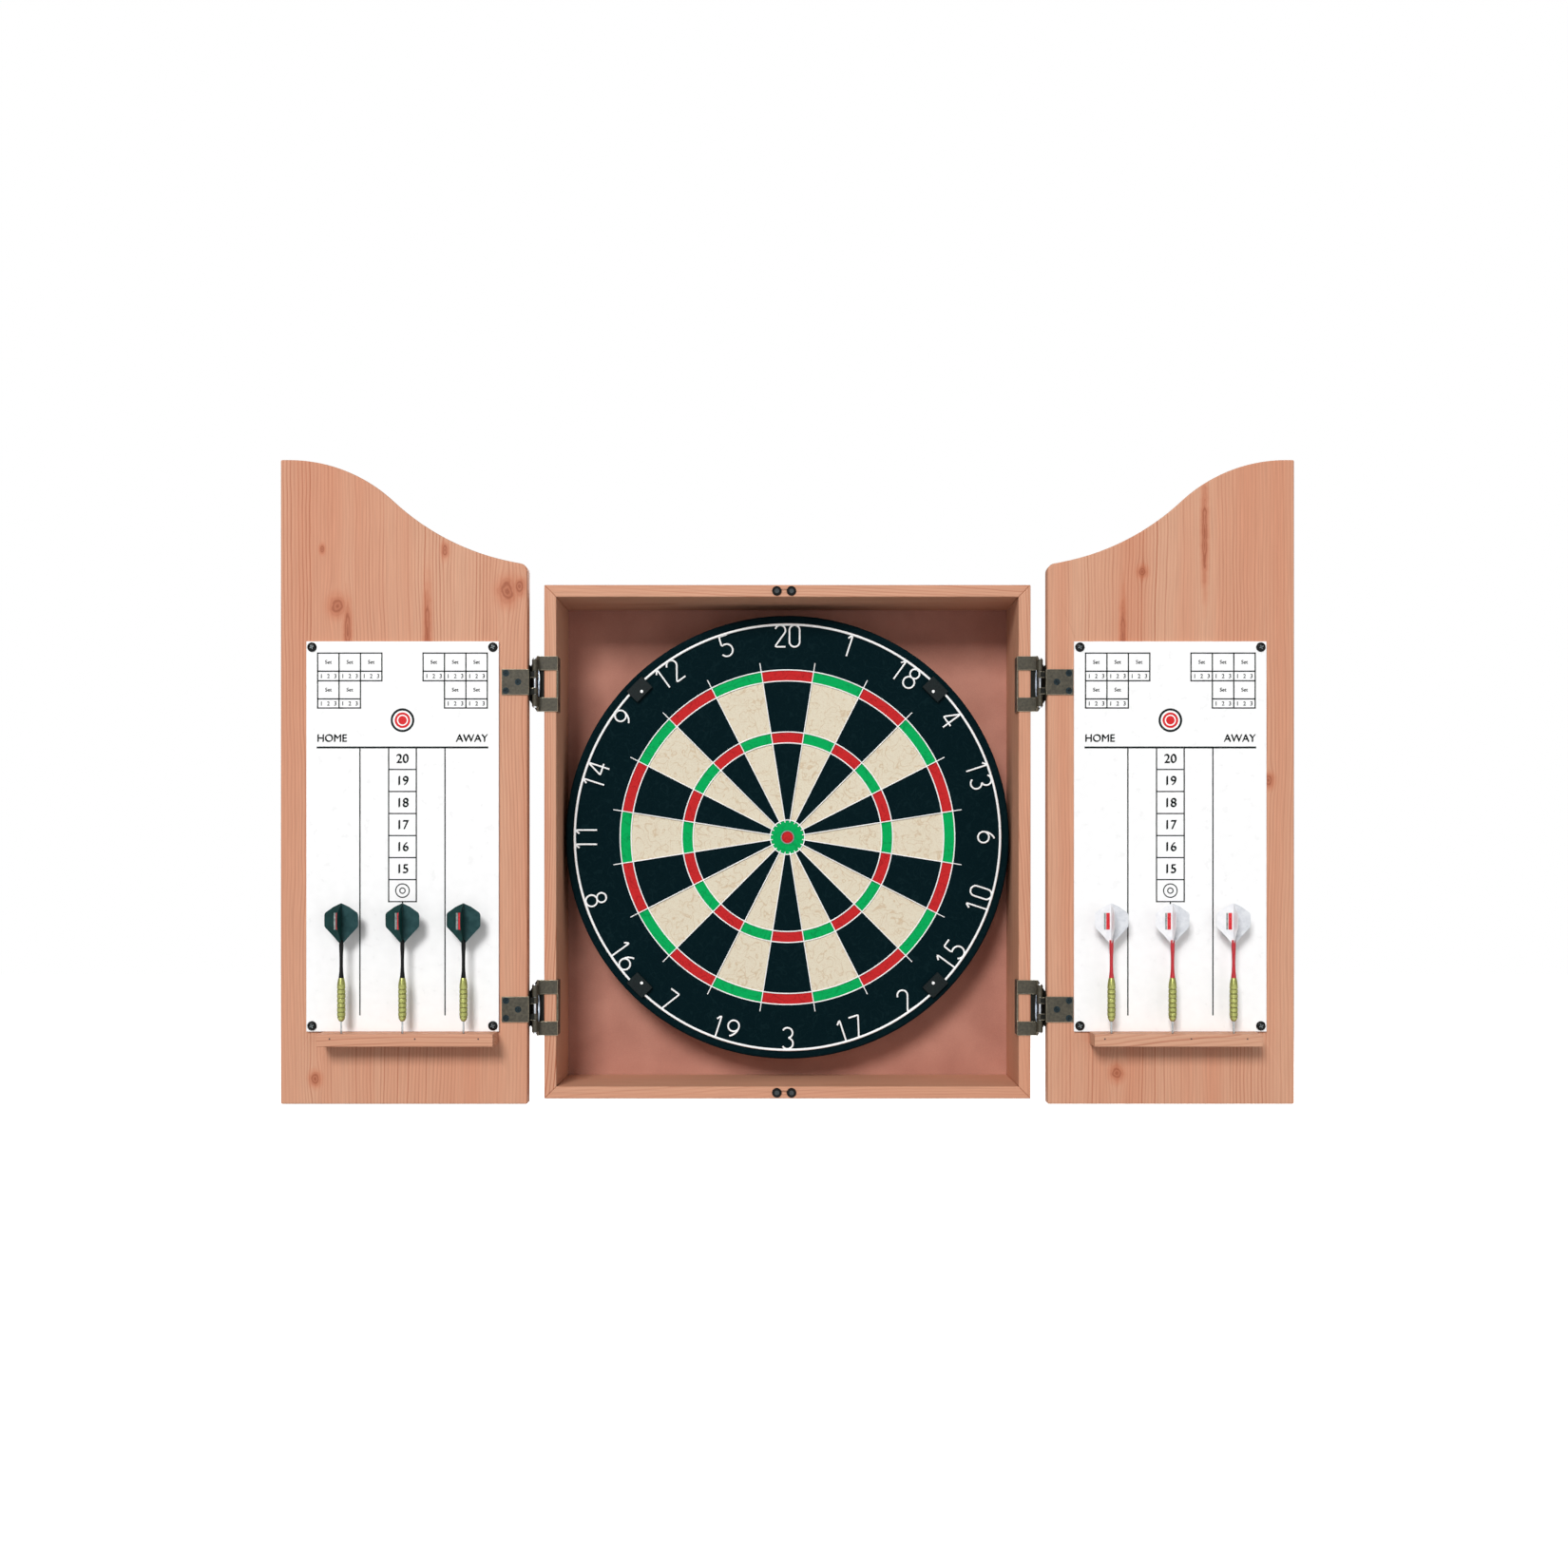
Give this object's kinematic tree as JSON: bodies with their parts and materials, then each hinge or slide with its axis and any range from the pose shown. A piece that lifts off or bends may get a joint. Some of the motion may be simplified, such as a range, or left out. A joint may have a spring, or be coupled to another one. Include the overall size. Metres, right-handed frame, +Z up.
{
  "type": "dart board cabinet",
  "caption": "Wall-mounted pine cabinet with two ogee-topped doors that open flat, a round dart board inside, scoreboards and dart rails on the doors.",
  "frame": {"origin": "centre of the wall fixing hole pattern, on the wall plane at the back of the cabinet", "axes": "+Y into the wall, +X along the wall to the right as seen from the front, +Z up; doors drawn open flat to the sides"},
  "size_m": [0.9916, 0.1533, 0.6303],
  "materials": {
    "cabinet_pine": "lacquered pine boards, satin",
    "door_pine": "lacquered knotty pine, satin",
    "back_mdf": "bare brown fibreboard, matte",
    "zinc_steel": "zinc-plated steel",
    "bright_spring_steel": "bright spring steel",
    "bumper_rubber": "black rubber",
    "bronze_steel": "antique bronze plated steel",
    "black_screw": "blackened steel",
    "black_sisal": "dyed pressed sisal fibre",
    "fibreboard": "pressed fibreboard",
    "hoop_steel": "dark steel band",
    "white_wire": "white coated steel wire",
    "clip_plastic": "black plastic",
    "pad_felt": "dark rubber",
    "scoreboard_melamine": "white dry-wipe laminate",
    "nail_steel": "dull steel",
    "dart_brass": "knurled brass",
    "black_shaft_plastic": "black plastic",
    "red_shaft_plastic": "red plastic",
    "dark_flight_film": "dark green-black film",
    "white_flight_film": "white film"
  },
  "bodies": {
    "cabinet": {"cabinet_left_side": "cabinet_pine", "cabinet_right_side": "cabinet_pine", "cabinet_top": "cabinet_pine", "cabinet_bottom": "cabinet_pine", "back_panel": "back_mdf", "back_panel_screws": "zinc_steel", "door_bumpers": "bumper_rubber", "hinge_frame_screws": "black_screw", "hinge_pins": "zinc_steel", "hinge_springs": "bright_spring_steel", "hanging_bracket": "zinc_steel", "bracket_screws": "zinc_steel", "left_upper_frame_leaf": "bronze_steel", "left_lower_frame_leaf": "bronze_steel", "right_upper_frame_leaf": "bronze_steel", "right_lower_frame_leaf": "bronze_steel"},
    "dartboard": {"sisal_face": "black_sisal", "fibreboard_back": "fibreboard", "steel_hoop": "hoop_steel", "spider": "white_wire", "number_ring": "white_wire", "number_ring_clips": "clip_plastic", "number_ring_nails": "white_wire", "hanging_screw": "zinc_steel", "spacer_pads": "pad_felt"},
    "left_door": {"left_door_panel": "door_pine", "left_scoreboard": "scoreboard_melamine", "left_scoreboard_screws": "black_screw", "left_dart_rail": "door_pine", "left_rail_nails": "nail_steel", "left_door_hinge_screws": "black_screw", "left_upper_door_leaf": "bronze_steel", "left_lower_door_leaf": "bronze_steel"},
    "right_door": {"right_door_panel": "door_pine", "right_scoreboard": "scoreboard_melamine", "right_scoreboard_screws": "black_screw", "right_dart_rail": "door_pine", "right_rail_nails": "nail_steel", "right_door_hinge_screws": "black_screw", "right_upper_door_leaf": "bronze_steel", "right_lower_door_leaf": "bronze_steel"},
    "left_inner_dart": {"left_inner_dart_barrel": "dart_brass", "left_inner_dart_shaft": "black_shaft_plastic", "left_inner_dart_flight": "dark_flight_film"},
    "left_middle_dart": {"left_middle_dart_barrel": "dart_brass", "left_middle_dart_shaft": "black_shaft_plastic", "left_middle_dart_flight": "dark_flight_film"},
    "left_outer_dart": {"left_outer_dart_barrel": "dart_brass", "left_outer_dart_shaft": "black_shaft_plastic", "left_outer_dart_flight": "dark_flight_film"},
    "right_inner_dart": {"right_inner_dart_barrel": "dart_brass", "right_inner_dart_shaft": "red_shaft_plastic", "right_inner_dart_flight": "white_flight_film"},
    "right_middle_dart": {"right_middle_dart_barrel": "dart_brass", "right_middle_dart_shaft": "red_shaft_plastic", "right_middle_dart_flight": "white_flight_film"},
    "right_outer_dart": {"right_outer_dart_barrel": "dart_brass", "right_outer_dart_shaft": "red_shaft_plastic", "right_outer_dart_flight": "white_flight_film"}
  },
  "joints": [
    {"name": "dartboard_turn", "type": "hinge", "parent": "cabinet", "child": "dartboard", "pos_m": [0, -0.032, 0.005], "axis": [0, 1, 0], "continuous": true},
    {"name": "left_door_swing", "type": "hinge", "parent": "cabinet", "child": "left_door", "pos_m": [-0.24825, -0.108, -0.004], "axis": [0, 0, 1], "range_deg": [0, 180]},
    {"name": "right_door_swing", "type": "hinge", "parent": "cabinet", "child": "right_door", "pos_m": [0.24825, -0.108, -0.004], "axis": [0, 0, -1], "range_deg": [0, 180]},
    {"name": "left_inner_dart_lift", "type": "slide", "parent": "left_door", "child": "left_inner_dart", "axis": [0, 0, 1], "range_m": [0, 0.06]},
    {"name": "left_middle_dart_lift", "type": "slide", "parent": "left_door", "child": "left_middle_dart", "axis": [0, 0, 1], "range_m": [0, 0.06]},
    {"name": "left_outer_dart_lift", "type": "slide", "parent": "left_door", "child": "left_outer_dart", "axis": [0, 0, 1], "range_m": [0, 0.06]},
    {"name": "right_inner_dart_lift", "type": "slide", "parent": "right_door", "child": "right_inner_dart", "axis": [0, 0, 1], "range_m": [0, 0.06]},
    {"name": "right_middle_dart_lift", "type": "slide", "parent": "right_door", "child": "right_middle_dart", "axis": [0, 0, 1], "range_m": [0, 0.06]},
    {"name": "right_outer_dart_lift", "type": "slide", "parent": "right_door", "child": "right_outer_dart", "axis": [0, 0, 1], "range_m": [0, 0.06]}
  ]
}
